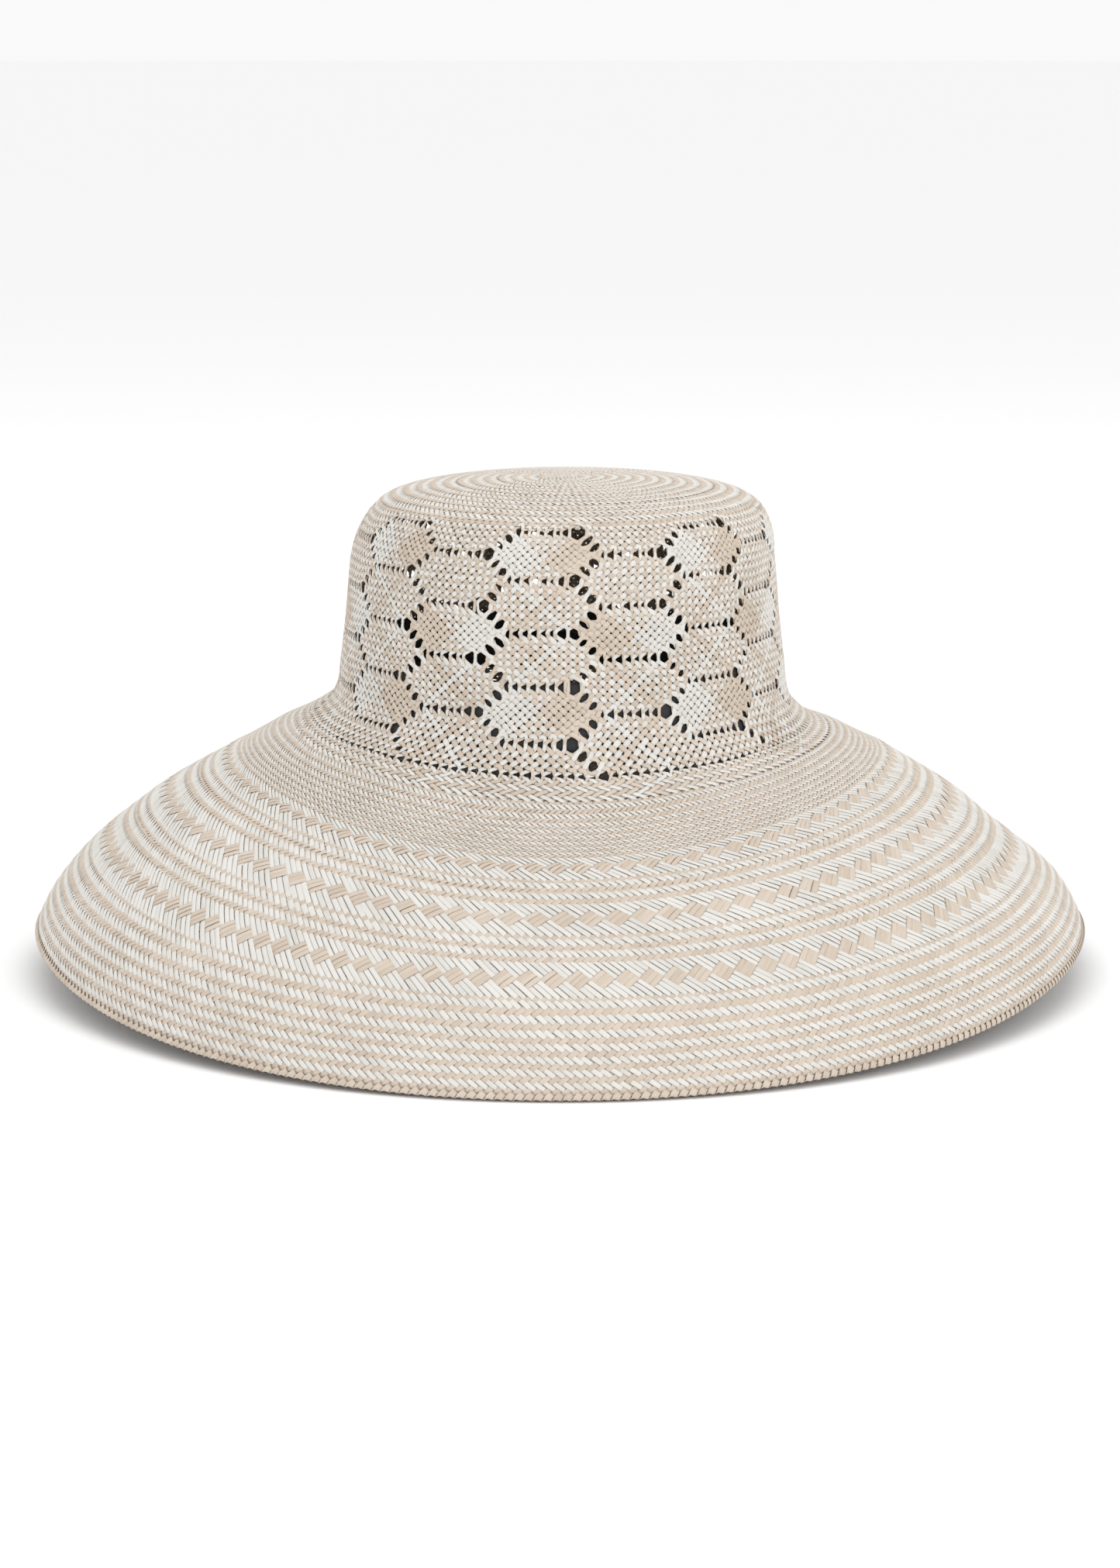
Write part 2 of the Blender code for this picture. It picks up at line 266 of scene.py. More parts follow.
# name, place, size, power
LIGHTS = (
    ("key", (1.2, -1.8, 0.8), 1.4, 10),
    ("fill", (-1.0, -1.9, 0.5), 1.4, 3.8),
    ("top", (0.0, 0.3, 1.9), 1.8, 10),
)
CAMERA_DISTANCE = 1.5
CAMERA_RISE = math.radians(11)
CAMERA_AIM_HEIGHT = 0.0688
CAMERA_LENS = 88.1
CAMERA_SENSOR = 36


# ---- The body's surface
LENGTHS = np.concatenate(([0.0], np.cumsum(np.hypot(*np.diff(PROFILE, axis=0).T))))


def slopes(values):
    """Slope at each profile point, from its neighbours."""
    rise = np.empty_like(values)
    rise[1:-1] = (values[2:] - values[:-2]) / (LENGTHS[2:] - LENGTHS[:-2])
    rise[0] = (values[1] - values[0]) / (LENGTHS[1] - LENGTHS[0])
    rise[-1] = (values[-1] - values[-2]) / (LENGTHS[-1] - LENGTHS[-2])
    return rise


def smooth_curve(s, values):
    """Smooth curve through the profile's values at distances s along it."""
    rise = slopes(values)
    index = np.clip(np.searchsorted(LENGTHS, s) - 1, 0, len(LENGTHS) - 2)
    span = LENGTHS[index + 1] - LENGTHS[index]
    t = (s - LENGTHS[index]) / span
    start_share = 2 * t**3 - 3 * t**2 + 1
    bends = (t**3 - 2 * t**2 + t) * rise[index] + (t**3 - t**2) * rise[index + 1]
    return start_share * values[index] + (1 - start_share) * values[index + 1] + bends * span


def half_sizes(s):
    """Half width and half length of the body's oval."""
    width = smooth_curve(s, PROFILE[:, 0])
    return width, width + EXTRA_LENGTH * np.clip(width / HEAD_HALF_WIDTH, 0, 1)


def body(s, turn):
    """Point on the body's middle surface; turn runs evenly around its outline."""
    width, length = half_sizes(s)
    angle = turn - (length - width) / (length + width + TINY) / 2 * np.sin(2 * turn)
    height = smooth_curve(s, PROFILE[:, 1]) + np.interp(width, ROLL_AT, ROLL) * np.cos(2 * angle)
    lean = np.interp(height, LEAN_AT, LEAN)
    height -= np.interp(width, DROP_AT, DROP) * np.clip(np.cos(angle), 0, 1)**2
    rim = RIM_SIDE_LIFT * np.cos(angle)**6 - RIM_CORNER_DROP * np.sin(2 * angle)**2
    height += rim * np.interp(width, RIM_ZONE, (0, 1))
    return np.stack((width * np.cos(angle) + lean, length * np.sin(angle), height), -1)


def unit(v):
    """Vectors scaled to length one."""
    return v / (np.linalg.norm(v, axis=-1, keepdims=True) + TINY)


def directions(s, turn):
    """Unit vectors down along the profile and outward from the body."""
    along = unit(body(s + STEP_DOWN, turn) - body(s - STEP_DOWN, turn))
    around = body(s, turn + STEP_AROUND) - body(s, turn - STEP_AROUND)
    return along, unit(np.cross(along, around))


def girth(s):
    """Length once around the body."""
    width, length = half_sizes(s)
    return math.pi * (width + length)


def waver(s, turn):
    """Slow waver of the rows, as hand work has."""
    return sum(high * np.sin(count * turn + drift * s + start)
               for high, count, drift, start in WAVES)


# ---- The weave
def row_position(block, row):
    """Distance along the profile of a row, or of a point between rows."""
    rows = np.array([r for r, _ in block.rows], float)
    values = np.array([v for _, v in block.rows], float)
    row = np.asarray(row, float)
    before = np.minimum(row - rows[0], 0) * (values[1] - values[0]) / (rows[1] - rows[0])
    after = np.maximum(row - rows[-1], 0) * (values[-1] - values[-2]) / (rows[-1] - rows[-2])
    return np.interp(row, rows, values) + before + after


def row_kind(block, row):
    """The pattern's letter at a row; the tails take the nearest one."""
    return block.pattern[min(max(row - block.first, 0), len(block.pattern) - 1)]


def wrapped(difference, period):
    """A difference along the round, brought to its shortest form."""
    return (difference + period / 2) % period - period / 2


def white_lean_on_top(block, row, place):
    """Whether the strands that lean the white way are on top at a row's crossings."""
    kind = row_kind(block, row)
    if kind in DIAMOND_REACH:
        middle = block.first + block.pattern.index("2")
        return np.abs(wrapped(place - middle / 2, DIAMOND_PERIOD)) > DIAMOND_REACH[kind]
    return np.full(place.shape, kind == "W")


def line_middle(row):
    """Where a row's line of holes has its middle in the repeat, or None without a line."""
    if row < 0 or row > LAST_LINE or row % (LINE_ROWS // 2):
        return None
    return 0 if row % LINE_ROWS == 0 else PERIOD // 2


def twisted(block, row, place):
    """Whether the strands turn round each other and go back at a row's crossings."""
    middle = line_middle(row)
    if block is not BLOCKS["openwork"] or middle is None:
        return np.zeros(place.shape, bool)
    if row == LAST_LINE:
        return np.ones(place.shape, bool)
    return np.abs(wrapped(place - middle, PERIOD)) < LINE_REACH


def openwork_holes():
    """Holes of one repeat of the openwork: its places, rows and shapes."""
    holes = []
    for row in range(0, LAST_LINE, LINE_ROWS // 2):
        middle = line_middle(row)
        end = middle + LINE_HALF
        holes.append((middle - LINE_HALF, row, SLOT_HOLE))
        holes.append((end, row, BIG_HOLE))
        holes.append((end - 1, row, LINE_END_HOLE))
        holes.extend((middle + place, row, SMALL_HOLE) for place in SMALL_PLACES)
        for step in (1, 2):
            if row > 0:
                holes.append((end + step, row - 2 * step, FALLING_HOLE))
            holes.append((end + step, row + 2 * step, RISING_HOLE))
    holes.extend((k + 0.5, LAST_LINE, SMALL_HOLE) for k in range(PERIOD))
    holes.append((PERIOD / 2 - LINE_HALF, LAST_LINE, LINE_END_HOLE))
    return holes


def hole_reach(hole, row, middle, repeat, bearing, facing):
    """From a hole's middle to its edge; facing is 1 at the hat's front and back, 0 at its sides."""
    by_repeat, by_place, by_row = UNEVEN_BY
    uneven = np.sin(by_repeat * repeat + by_place * middle + by_row * row)
    reach = hole.reach * (1 + HOLE_UNEVENNESS * uneven)
    reach = reach * (1 - hole.sharpness * np.cos(hole.corners * bearing))
    reach = reach * (1 - SIDE_TIGHTNESS * (1 - facing**2))
    if row == LAST_LINE:
        opened = (facing - LINE_CLOSED) / (LINE_OPEN - LINE_CLOSED)
        reach = reach * np.clip(opened, LINE_SHUT, LINE_SIZE)
    return reach


def push_aside(place, s, block):
    """Move strand points clear of the openwork's holes, and say how crowded they lie."""
    pitch = girth(s) / block.count
    facing = np.abs(np.cos(2 * math.pi * place / block.count))
    move_place = np.zeros_like(place)
    move_s = np.zeros_like(s)
    crowded = np.zeros_like(s)
    for middle, row, hole in openwork_holes():
        dx = wrapped(place - middle, PERIOD) * pitch
        dy = s - row_position(block, row)
        cosine = math.cos(math.radians(hole.lean))
        sine = math.sin(math.radians(hole.lean))
        along = (dx * cosine + dy * sine) / hole.stretch
        across = (dy * cosine - dx * sine) * hole.stretch
        away = np.hypot(along, across) + HOLE_CORE
        near = np.exp(-(away / (HOLE_SPREAD * hole.reach + HOLE_MARGIN))**2)
        repeat = np.round((place - middle) / PERIOD)
        reach = hole_reach(hole, row, middle, repeat, np.arctan2(across, along), facing)
        push = (np.sqrt(away**2 + reach**2) / away - 1) * near
        along *= hole.stretch * push
        across *= push / hole.stretch
        move_place += (along * cosine - across * sine) / pitch
        move_s += along * sine + across * cosine
        crowded = np.maximum(crowded, near * min(hole.reach / FULL_CROWD, 1))
    return place + move_place, s + move_s, crowded


Course = namedtuple("Course", "rows places before after")


def trace(block, lean, ids):
    """Each strand's place at every row, and its lean before and after that row's crossing."""
    rows = range(block.first - EXTRA_ROWS, block.first + len(block.pattern) + EXTRA_ROWS)
    place = ids + lean * rows[0] / 2
    leans = np.full(len(ids), float(lean))
    places, before, after = [], [], []
    for row in rows:
        places.append(place)
        before.append(leans)
        leans = np.where(twisted(block, row, place), -leans, leans)
        after.append(leans)
        place = place + leans / 2
    return Course(rows, np.array(places).T, np.array(before).T, np.array(after).T)


def read_even(values, start, step, at):
    """Straight-line readings at some positions of values given at even steps."""
    place = (at - start) / step
    low = np.clip(place.astype(int), 0, values.shape[1] - 2)
    share = place - low
    return values[:, low] * (1 - share) + values[:, low + 1] * share


def interleave(first, second):
    """Columns of two tables taken in turn."""
    return np.stack((first, second), -1).reshape(len(first), -1)


def twist_courses(course, fine):
    """How far sideways strands bow in their twists, and the share of width they keep there."""
    turned = course.before != course.after
    bow = np.where(turned, np.where(course.before < 0, -TWIST_FRONT, TWIST_BACK), 0.0)
    slim = np.where(turned, TWIST_WIDTH, 1.0)
    first = course.rows[0]
    return (read_even(interleave(bow, np.zeros_like(bow)), first, 0.5, fine),
            read_even(interleave(slim, np.ones_like(slim)), first, 0.5, fine))


def ride_heights(block, lean, course, fine):
    """Height of the strands' middles over the body, from what goes over and under."""
    white_top = np.array([white_lean_on_top(block, row, course.places[:, k])
                          for k, row in enumerate(course.rows)]).T
    levels = interleave(np.where((course.before > 0) == white_top, 1.0, -1.0),
                        np.where((course.after > 0) == white_top, 1.0, -1.0))
    first = course.rows[0]
    height = WEAVE_DEPTH * np.sin(read_even(levels, first - 0.25, 0.5, fine) * math.pi / 2)
    in_diamonds = np.array([[row_kind(block, row) in DIAMOND_REACH for row in course.rows]], float)
    in_diamonds = read_even(in_diamonds, first, 1.0, fine)
    height += lean * (block.lift * (1 - in_diamonds) - DIAMOND_LIFT * in_diamonds)
    tucked = np.clip(1 - np.minimum(fine - fine[0], fine[-1] - fine) / TAIL, 0, 1)
    return height * (1 - tucked) - TUCK * tucked


def strand_widths(block, lean, fine, around, s):
    """Width of the strands along their length, from the room that each has."""
    half_pitch = girth(s) / block.count / 2
    row_step = np.gradient(row_position(block, fine), fine)
    spacing = 2 * half_pitch * row_step / np.hypot(half_pitch, row_step)
    known, white_fill, natural_fill = zip(*block.fill)
    fill = np.interp(fine, known, white_fill if lean > 0 else natural_fill)
    width = np.minimum(spacing * fill, MAX_WIDTH)
    width *= 1 + RIGHT_TIGHTNESS * np.cos(FRONT_COLUMN + around)
    waist = block.waist * (1 - BACK_TIGHTNESS * (1 - np.cos(around)) / 2)
    return width * (1 - waist * np.sin(math.pi * fine)**2)


def strands(block_name, lean, ids):
    """Ribbons of some strands of a block.

    lean is 1 for strands that start down to the right, seen from outside, and -1 otherwise.
    """
    block = BLOCKS[block_name]
    course = trace(block, lean, ids)
    rows_long = len(block.pattern) - 1 + 2 * TAIL
    fine = np.arange(round(rows_long * block.samples) + 1) / block.samples + (block.first - TAIL)
    bow, slim = twist_courses(course, fine)
    place = read_even(course.places, course.rows[0], 1.0, fine) + bow
    rng = np.random.default_rng(SEED + BLOCK_SEED_STEP * block.count + int(lean))
    place += rng.normal(0, PLACE_JITTER, block.count)[ids][:, None]
    s = row_position(block, fine) + np.zeros_like(place)
    crowded = np.zeros_like(s)
    if block_name == "openwork":
        place, s, crowded = push_aside(place, s, block)
    around = 2 * math.pi * place / block.count
    turn = FRONT_COLUMN + around
    s = s + waver(s, turn)
    normal = directions(s, turn)[1]
    centre = body(s, turn) + normal * ride_heights(block, lean, course, fine)[..., None]
    width = strand_widths(block, lean, fine, around, s) * slim * (1 - CROWD_SQUEEZE * crowded)
    width *= rng.normal(1, WIDTH_JITTER, block.count)[ids][:, None]
    return ribbon(centre, normal, width, rng, inner_shade_painted=block_name in PAINTED_SHADE_BLOCKS)


# ---- Meshes
def ribbon(centre, normal, width, rng, thickness=THICKNESS, closed=False, inner_shade_painted=False):
    """Points, faces and grain of closed ribbons along some middle lines.

    Grain is the place along and across the strand, its tone, and the painted shade on its inner
    face.
    """
    tangent = unit(np.gradient(centre, axis=1))
    up = unit(normal - tangent * (normal * tangent).sum(-1, keepdims=True))
    side = np.cross(up, tangent)
    section = np.array(SECTION)
    across = width[..., None] * section[:, 0]
    points = (centre[:, :, None] + side[:, :, None] * across[..., None]
              + up[:, :, None] * (thickness * section[:, 1])[:, None])
    number = np.arange(points.size // 3).reshape(points.shape[:3])
    here, there = number[:, :-1], number[:, 1:]
    if closed:
        here, there = number, np.roll(number, -1, 1)
    sides = np.stack((here, np.roll(here, -1, 2), np.roll(there, -1, 2), there), -1).reshape(-1, 4)
    caps = np.concatenate((number[:, 0, ::-1], number[:, -1]))
    steps = np.linalg.norm(np.diff(centre, axis=1), axis=-1)
    length = np.concatenate((np.zeros((len(steps), 1)), np.cumsum(steps, axis=1)), axis=1)
    tone = rng.random(len(length))[:, None, None]
    # painted shade: strongest at the section's lower, inner point, for the shade inside the crown
    painted_shade = inner_shade_painted * np.clip(-2 * section[:, 1], 0, 1)
    grain = np.stack(np.broadcast_arrays(length[..., None], across, tone, painted_shade), -1)
    return points.reshape(-1, 3), [sides] if closed else [sides, caps], grain.reshape(-1, 4)


def make_mesh(name, parts):
    """One object out of (points, face tables, grain)."""
    starts = np.cumsum([0] + [len(points) for points, _, _ in parts])
    tables = [table + start for (_, faces, _), start in zip(parts, starts) for table in faces]
    sizes = np.concatenate([np.full(len(table), table.shape[1]) for table in tables])
    corners = np.concatenate([table.ravel() for table in tables])
    mesh = bpy.data.meshes.new(name)
    mesh.vertices.add(starts[-1])
    mesh.vertices.foreach_set("co", np.concatenate([points for points, _, _ in parts]).ravel() * MM)
    mesh.loops.add(len(corners))
    mesh.loops.foreach_set("vertex_index", corners.astype(np.int32))
    mesh.polygons.add(len(sizes))
    mesh.polygons.foreach_set("loop_start", (np.cumsum(sizes) - sizes).astype(np.int32))
    mesh.polygons.foreach_set("use_smooth", np.ones(len(sizes), bool))
    grain = np.concatenate([g for _, _, g in parts]).astype(np.float32)
    vectors = mesh.attributes.new("grain", "FLOAT_VECTOR", "POINT")
    vectors.data.foreach_set("vector", grain[:, :3].ravel())
    # painted shade of the inner face, kept as an attribute of its own
    painted_shade_values = mesh.attributes.new("painted_shade", "FLOAT", "POINT")
    painted_shade_values.data.foreach_set("value", grain[:, 3])
    mesh.update(calc_edges=True)
    made = bpy.data.objects.new(name, mesh)
    bpy.context.scene.collection.objects.link(made)
    return made


def grid_faces(number):
    """Faces of a grid of point numbers."""
    corners = (number[:-1, :-1], number[1:, :-1], number[1:, 1:], number[:-1, 1:])
    return np.stack(corners, -1).reshape(-1, 4)


def strip_faces(a, b):
    """Faces between two lines of point numbers."""
    return np.stack((a[:-1], a[1:], b[1:], b[:-1]), -1).reshape(-1, 4)


def slab(front, back, around):
    """Closed solid between two grids of points; around joins the last column to the first."""
    rows, columns = front.shape[:2]
    points = np.concatenate((front.reshape(-1, 3), back.reshape(-1, 3)))
    number = np.arange(rows * columns).reshape(rows, columns)
    if around:
        number = np.concatenate((number, number[:, :1]), axis=1)
    far = number + rows * columns
    tables = [grid_faces(number), grid_faces(far)[:, (0, 3, 2, 1)],
              strip_faces(number[0], far[0]), strip_faces(far[-1], number[-1])]
    if not around:
        tables += [strip_faces(far[:, 0], number[:, 0]), strip_faces(number[:, -1], far[:, -1])]
    return points, tables, np.column_stack((points, np.zeros(len(points))))


# ---- Materials
def node(tree, kind, **settings):
    """Add a shader node and set its sockets by name and its properties."""
    made = tree.nodes.new(kind)
    for key, value in settings.items():
        if key in made.inputs:
            made.inputs[key].default_value = value
        else:
            setattr(made, key, value)
    return made


def new_material(name):
    """A node material and its shader."""
    made = bpy.data.materials.new(name)
    made.use_nodes = True
    return made, made.node_tree, made.node_tree.nodes["Principled BSDF"]


def colour_ramp(tree, factor, stops):
    """Colours by a factor, from (position, colour) stops."""
    made = tree.nodes.new("ShaderNodeValToRGB")
    elements = made.color_ramp.elements
    for position, colour in stops[1:-1]:
        elements.new(position).color = (*colour, 1)
    for element, (position, colour) in ((elements[0], stops[0]), (elements[-1], stops[-1])):
        element.position = position
        element.color = (*colour, 1)
    tree.links.new(factor, made.inputs["Fac"])
    return made.outputs["Color"]


def vary_roughness(tree, shader, factor, roughness, spread):
    """Roughness that follows a factor."""
    made = node(tree, "ShaderNodeMapRange")
    made.inputs["To Min"].default_value = roughness + spread[0]
    made.inputs["To Max"].default_value = roughness + spread[1]
    tree.links.new(factor, made.inputs["Value"])
    tree.links.new(made.outputs["Result"], shader.inputs["Roughness"])


def add_relief(tree, shader, factor, relief):
    """Fine relief that follows a factor."""
    made = node(tree, "ShaderNodeBump", Strength=relief[0], Distance=relief[1])
    tree.links.new(factor, made.inputs["Height"])
    tree.links.new(made.outputs["Normal"], shader.inputs["Normal"])


def noise(tree, vector, **settings):
    """A noise pattern over some coordinates."""
    made = node(tree, "ShaderNodeTexNoise", **settings)
    tree.links.new(vector, made.inputs["Vector"])
    return made.outputs["Fac"]


def multiply_add(tree, value, factor, added):
    """One value times a factor, plus another value."""
    made = node(tree, "ShaderNodeMath", operation="MULTIPLY_ADD")
    tree.links.new(value, made.inputs[0])
    made.inputs[1].default_value = factor
    tree.links.new(added, made.inputs[2])
    return made.outputs["Value"]


def colour_with_painted_shade(tree, colour):
    """A colour, darkened towards brown where the painted shade lies, standing in for the shade
    inside the crown.
    """
    painted_shade = node(tree, "ShaderNodeAttribute", attribute_name="painted_shade")
    made = node(tree, "ShaderNodeMix", data_type="RGBA", blend_type="MULTIPLY")
    tree.links.new(painted_shade.outputs["Fac"], made.inputs[MIX_FACTOR])
    tree.links.new(colour, made.inputs[MIX_A])
    made.inputs[MIX_B].default_value = (*PAINTED_SHADE_TINT, 1)
    return made.outputs[MIX_RESULT]


def straw_material(name, colours, roughness):
    """Split palm straw: fibres along the strand, a tone for each strand, soft patches."""
    made, tree, shader = new_material(name)
    grain = node(tree, "ShaderNodeAttribute", attribute_name="grain").outputs["Vector"]
    stretch = node(tree, "ShaderNodeMapping", Scale=FIBRE_SCALE)
    tree.links.new(grain, stretch.inputs["Vector"])
    fibres = noise(tree, stretch.outputs["Vector"], **FIBRE_NOISE)
    position = node(tree, "ShaderNodeTexCoord").outputs["Object"]
    patches = noise(tree, position, **PATCH_NOISE)
    split = node(tree, "ShaderNodeSeparateXYZ")
    tree.links.new(grain, split.inputs["Vector"])
    toned = multiply_add(tree, split.outputs["Z"], STRAND_TONE, fibres)
    patched = multiply_add(tree, patches, PATCH_TONE, toned)
    colour = colour_ramp(tree, patched, list(zip(STRAW_STOPS, colours)))
    # straw colour with the painted shade of the inner face
    tree.links.new(colour_with_painted_shade(tree, colour), shader.inputs["Base Color"])
    vary_roughness(tree, shader, fibres, roughness, STRAW_ROUGHNESS)
    add_relief(tree, shader, fibres, STRAW_RELIEF)
    shader.inputs["Specular IOR Level"].default_value = STRAW_SHINE
    return made


def cloth_material(name, colours, scale, roughness):
    """Matt woven ribbon or thread."""
    made, tree, shader = new_material(name)
    position = node(tree, "ShaderNodeTexCoord").outputs["Object"]
    weave = noise(tree, position, Scale=scale, **CLOTH_NOISE)
    colour = colour_ramp(tree, weave, list(zip(CLOTH_STOPS, colours)))
    tree.links.new(colour, shader.inputs["Base Color"])
    vary_roughness(tree, shader, weave, roughness, CLOTH_ROUGHNESS)
    add_relief(tree, shader, weave, CLOTH_RELIEF)
    shader.inputs["Sheen Weight"].default_value = CLOTH_SHEEN
    return made


WHITE_STRAW = straw_material(
    "white_straw", [(0.54, 0.515, 0.47), (0.65, 0.63, 0.59), (0.71, 0.69, 0.655)], 0.55)
NATURAL_STRAW = straw_material(
    "natural_straw", [(0.46, 0.38, 0.305), (0.56, 0.475, 0.39), (0.62, 0.54, 0.455)], 0.58)
BLACK_RIBBON = cloth_material(
    "black_grosgrain", [(0.010, 0.010, 0.011), (0.035, 0.034, 0.036)], 900.0, 0.75)
BLACK_SATIN = cloth_material(
    "black_satin", [(0.022, 0.022, 0.025), (0.065, 0.063, 0.068)], 500.0, 0.38)
GREY_THREAD = cloth_material(
    "sewing_thread", [(0.20, 0.18, 0.16), (0.34, 0.31, 0.28)], 1500.0, 0.7)
STRAWS = (("white", 1, WHITE_STRAW), ("natural", -1, NATURAL_STRAW))


# ---- Pieces
def add_piece(name, parts, material, nodes):
    """Make a piece, give it its material and tie it to the CAD."""
    made = make_mesh(name, parts)
    made.data.materials.append(material)
    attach(made, "root")
    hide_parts(*nodes)
    return made


def build_start():
    """Small square plait at the crown's centre, where the strands start."""
    reach = START_STRANDS * START_SPACING / 2 + START_MARGIN
    along = np.linspace(-reach, reach, START_SAMPLES * START_STRANDS + 1)
    order = np.arange(START_STRANDS)
    across = (order - (START_STRANDS - 1) / 2) * START_SPACING
    x, y = np.broadcast_arrays(along[None, :], across[:, None])
    wave = np.sin((along[None, :] / START_SPACING + order[:, None] + 0.5) * math.pi)
    beyond = np.maximum(np.abs(x), np.abs(y)) - reach + START_TUCK_REACH
    lift = START_LIFT - START_TUCK * np.clip(beyond / START_TUCK_REACH, 0, 1)
    for label, sign, material in STRAWS:
        z = smooth_curve(np.hypot(x, y), PROFILE[:, 1]) + lift + sign * START_WAVE * wave
        centre = np.stack((x, y, z) if sign > 0 else (y, x, z), -1)
        normal = np.broadcast_to((0.0, 0.0, 1.0), centre.shape)
        rng = np.random.default_rng(SEED)
        width = np.full(x.shape, START_SPACING * START_FILL)
        add_piece(f"start_plait_{label}", [ribbon(centre, normal, width, rng)], material,
                  ["crown_start_plait"])


def build_crown_top():
    """Herringbone rings from the start plait out to the openwork."""
    for label, lean, material in STRAWS:
        parts = [strands(name, lean, np.arange(BLOCKS[name].count)) for name in CROWN_TOP]
        add_piece(f"crown_top_{label}", parts, material, ["crown_top_weave"])


def build_zone(zone, nodes, sectors):
    """The strands of one block, in sectors around the hat."""
    ids = np.arange(BLOCKS[zone].count)
    for label, lean, material in STRAWS:
        for number, part in enumerate(np.array_split(ids, sectors), 1):
            made = strands(zone, lean, part)
            add_piece(f"{zone}_{label}_{number}", [made], material, nodes)


def build_rim():
    """Strand ends folded over a thin core all around the edge."""
    count = BLOCKS["outer"].count
    bends = np.linspace(0, math.pi, RIM_BENDS)
    upper = (-RIM_WRAP, -RIM_WRAP / 2)
    x = np.concatenate((upper, RIM_RADIUS * np.sin(bends), upper[::-1]))
    y = np.concatenate((RIM_UPPER_END, RIM_RADIUS * np.cos(bends), RIM_LOWER_END))
    steps = np.hypot(np.gradient(x), np.gradient(y))
    path = np.cumsum(steps) - steps[0]
    slanted = np.arange(count)[:, None] - path[None, :] / RIM_SLANT
    turn = FRONT_COLUMN + 2 * math.pi / count * slanted
    line = np.full(turn.shape, RIM_LINE)
    along, normal = directions(line, turn)
    centre = body(line, turn) + along * x[:, None] + normal * y[:, None]
    outward = unit(along * np.gradient(-y)[:, None] + normal * np.gradient(x)[:, None])
    rng = np.random.default_rng(SEED)
    wraps = ribbon(centre, outward, np.full(turn.shape, RIM_WIDTH), rng, RIM_THICKNESS)
    add_piece("rim_wraps", [wraps], NATURAL_STRAW, ["brim_edge_braid"])
    around = np.linspace(-math.pi, math.pi, CORE_POINTS + 1)[None, :-1]
    line = np.full(around.shape, CORE_LINE)
    width = np.full(around.shape, CORE_WIDTH)
    normal = directions(line, around)[1]
    core = ribbon(body(line, around), normal, width, rng, CORE_THICKNESS, closed=True)
    add_piece("rim_core", [core], NATURAL_STRAW, ["brim_edge_braid"])


def band_grid(stations, turns, depth):
    """Grid of points inside the crown at some depth from the body."""
    s, turn = np.broadcast_arrays(stations[:, None], turns[None, :])
    return body(s, turn) - directions(s, turn)[1] * (np.zeros_like(s) + depth)[..., None]


def ribbed_slab(stations, turns, depth, around):
    """Ribbon with fine ribs across it, lying inside the crown."""
    ribs = RIB * (-1.0)**np.arange(len(turns))
    shrink = np.array([EDGE_ROUNDING] + [0.0] * (len(stations) - 2) + [EDGE_ROUNDING])[:, None]
    front = band_grid(stations, turns, depth + shrink - ribs)
    back = band_grid(stations, turns, depth + BAND_THICKNESS - shrink + ribs)
    return slab(front, back, around)


def build_sweatband():
    """Ribbed ribbon, its lap, the stitches that hold it, and a small flat bow at the back."""
    stations = np.linspace(BAND_TOP, BAND_BOTTOM, BAND_ROWS)
    turns = np.linspace(0, 2 * math.pi, 2 * RIBS + 1)[:-1]
    band = add_piece("sweatband_ribbon", [ribbed_slab(stations, turns, WALL_FACE, True)],
                     BLACK_RIBBON, ["sweatband"])
    lap_depth = WALL_FACE + BAND_THICKNESS + LAP_GAP
    half = math.radians(LAP_HALF_ANGLE)
    lap_turns = np.linspace(math.pi / 2 - half, math.pi / 2 + half, LAP_COLUMNS)
    lap_stations = np.linspace(BAND_TOP, THREAD_LINE - LAP_MARGIN, BAND_ROWS)
    lap = add_piece("sweatband_lap_end", [ribbed_slab(lap_stations, lap_turns, lap_depth, False)],
                    BLACK_RIBBON, ["sweatband_lap"])
    return band, [lap, build_stitches(lap_depth), build_bow(lap_depth + BAND_THICKNESS + BOW_GAP)]


def build_stitches(depth):
    """Running stitches near the band's lower edge, with their ends going into the ribbon."""
    t = np.linspace(-0.5, 0.5, STITCH_POINTS)[None, :]
    turn = (np.arange(STITCHES)[:, None] + STITCH_FILL * t) * 2 * math.pi / STITCHES
    s = np.full(turn.shape, THREAD_LINE)
    inward = depth + STITCH_RISE - STITCH_DIP * (2 * t)**4
    normal = directions(s, turn)[1]
    centre = body(s, turn) - normal * inward[..., None]
    width = np.full(turn.shape, THREAD_WIDTH)
    thread = ribbon(centre, -normal, width, np.random.default_rng(SEED), THREAD_WIDTH)
    return add_piece("sweatband_stitches", [thread], GREY_THREAD, ["sweatband_stitching"])


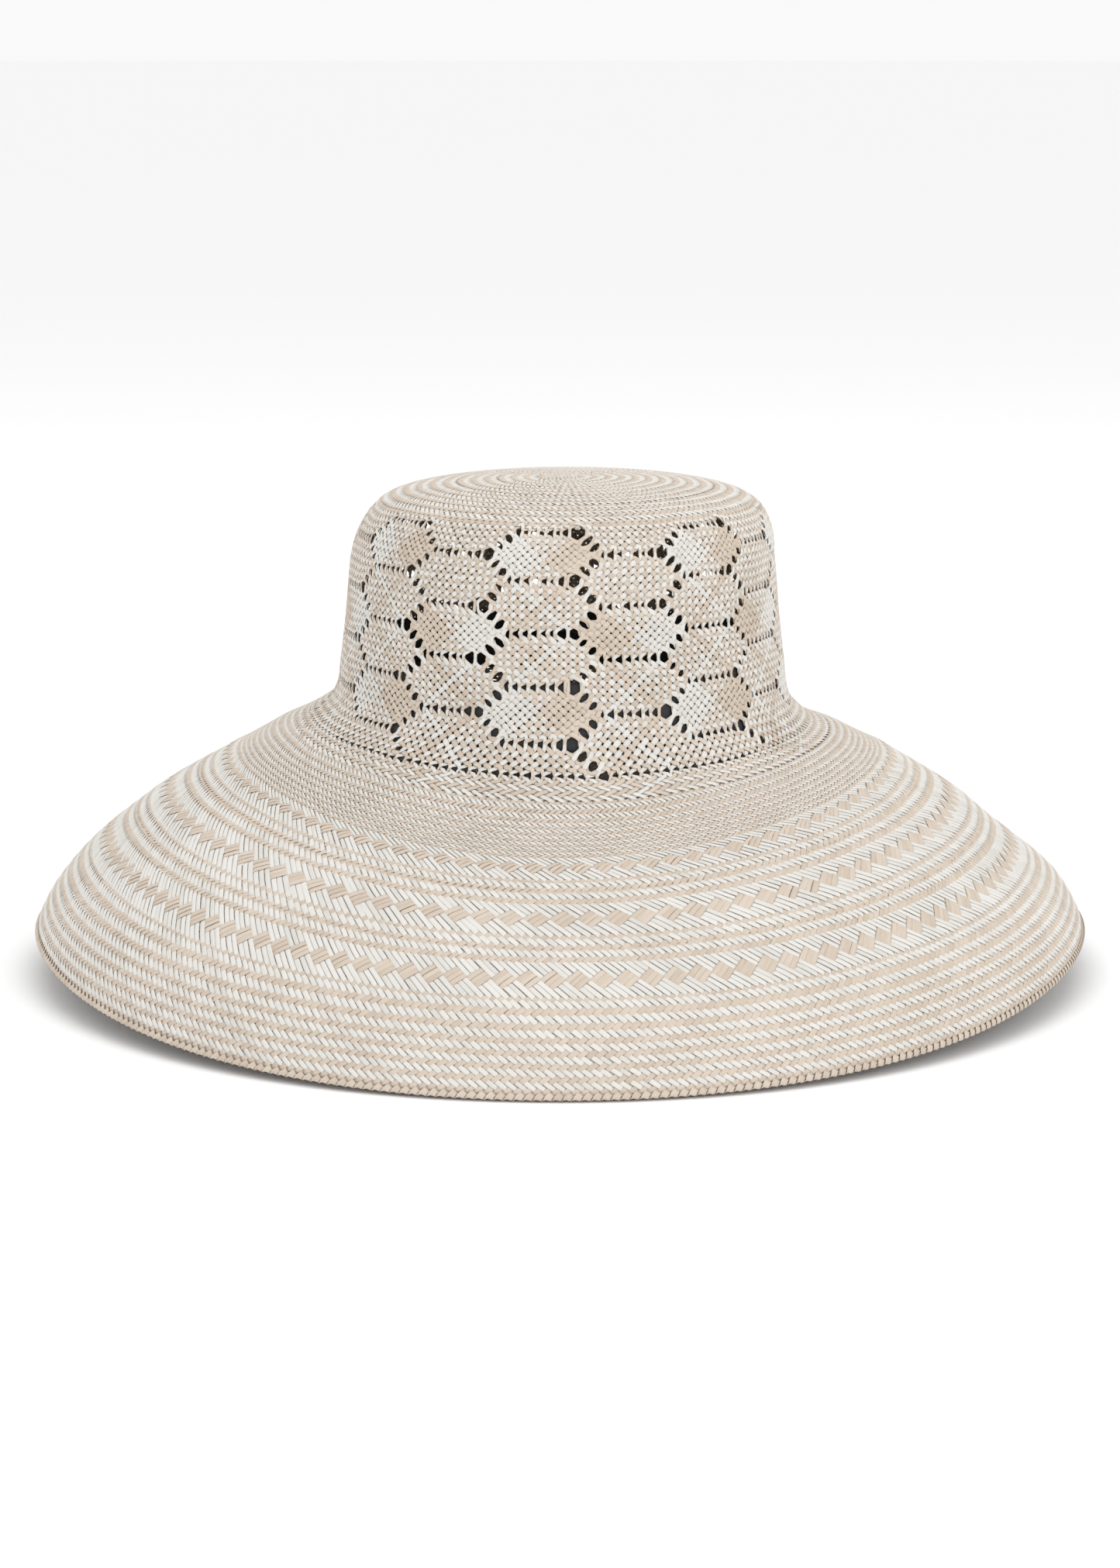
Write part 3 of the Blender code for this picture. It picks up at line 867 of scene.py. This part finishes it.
def build_bow(depth):
    """Flat bow: two pinched loops and a knot, lying against the band."""
    place = (np.array(BOW_LINE), np.array(math.pi / 2))
    middle = body(*place)
    down, out = directions(*place)
    side = np.cross(down, out)
    t = np.linspace(0, 1, BOW_POINTS)
    reach = BOW_HALF_WIDTH * np.sin(math.pi * t)
    inward = out * (depth + BOW_LIFT + BOW_BULGE * t)[:, None]
    centre = np.stack([middle + side * (sign * reach)[:, None] - inward for sign in (1, -1)])
    centre = centre + out * (BOW_SAG * (centre @ side / BOW_HALF_WIDTH)**2)[..., None]
    openness = BOW_PINCH + (1 - BOW_PINCH) * np.sin(math.pi * t)**BOW_FULLNESS
    width = np.broadcast_to(2 * BOW_HALF_HEIGHT * openness, centre.shape[:2])
    rng = np.random.default_rng(SEED)
    loops = ribbon(centre, np.broadcast_to(-out, centre.shape), width, rng, BOW_THICKNESS)
    turn = np.linspace(0, 2 * math.pi, KNOT_POINTS + 1)[:-1]
    sine = np.sin(turn)[:, None]
    cosine = np.cos(turn)[:, None]
    inward = out * (depth + KNOT_LIFT + KNOT_HALF_DEPTH * cosine)
    knot = middle - inward + down * KNOT_HALF_HEIGHT * sine
    outward = down * sine - out * cosine
    width = np.full((1, len(turn)), KNOT_WIDTH)
    knot = ribbon(knot[None], outward[None], width, rng, KNOT_THICKNESS, closed=True)
    return add_piece("sweatband_flat_bow", [loops, knot], BLACK_SATIN, ["sweatband_bow"])


# ---- Stage, light and camera
def build_stage():
    """Wide pale floor."""
    turns = np.linspace(0, 2 * math.pi, FLOOR_CORNERS + 1)[:-1]
    rim = [(FLOOR_RADIUS * math.cos(a), FLOOR_RADIUS * math.sin(a), 0) for a in turns]
    mesh = bpy.data.meshes.new("floor")
    mesh.from_pydata(rim, [], [list(range(len(rim)))])
    made, _, shader = new_material("floor")
    shader.inputs["Base Color"].default_value = FLOOR_COLOUR
    shader.inputs["Roughness"].default_value = FLOOR_ROUGHNESS
    mesh.materials.append(made)
    floor = bpy.data.objects.new("floor", mesh)
    bpy.context.scene.collection.objects.link(floor)


def area_light(name, place, size, power):
    """Soft area light aimed at the hat."""
    data = bpy.data.lights.new(name, "AREA")
    data.size = size
    data.energy = power
    made = bpy.data.objects.new(name, data)
    made.location = place
    made.rotation_euler = (LIGHT_AIM - Vector(place)).to_track_quat("-Z", "Y").to_euler()
    bpy.context.scene.collection.objects.link(made)


def build_lights():
    """Even white surroundings with a slightly stronger right side."""
    world = bpy.data.worlds.new("studio")
    bpy.context.scene.world = world
    world.use_nodes = True
    background = world.node_tree.nodes["Background"]
    background.inputs["Color"].default_value = (1, 1, 1, 1)
    background.inputs["Strength"].default_value = WORLD_STRENGTH
    for name, place, size, power in LIGHTS:
        area_light(name, place, size, power)


def build_camera():
    """Camera a little above level, a metre and a half in front of the hat."""
    data = bpy.data.cameras.new("camera")
    data.lens = CAMERA_LENS
    data.sensor_width = CAMERA_SENSOR
    made = bpy.data.objects.new("camera", data)
    made.location = (0, -CAMERA_DISTANCE * math.cos(CAMERA_RISE),
                     CAMERA_AIM_HEIGHT + CAMERA_DISTANCE * math.sin(CAMERA_RISE))
    made.rotation_euler = (math.pi / 2 - CAMERA_RISE, 0, 0)
    bpy.context.scene.collection.objects.link(made)
    bpy.context.scene.camera = made


build_start()
build_crown_top()
for zone, nodes, slot, sectors in ZONES:
    build_zone(zone, nodes, sectors)
build_rim()
band, trimmings = build_sweatband()
float(girth(BAND_MIDDLE)) * MM
build_stage()
build_lights()
build_camera()
bpy.context.scene.view_settings.view_transform = "Standard"
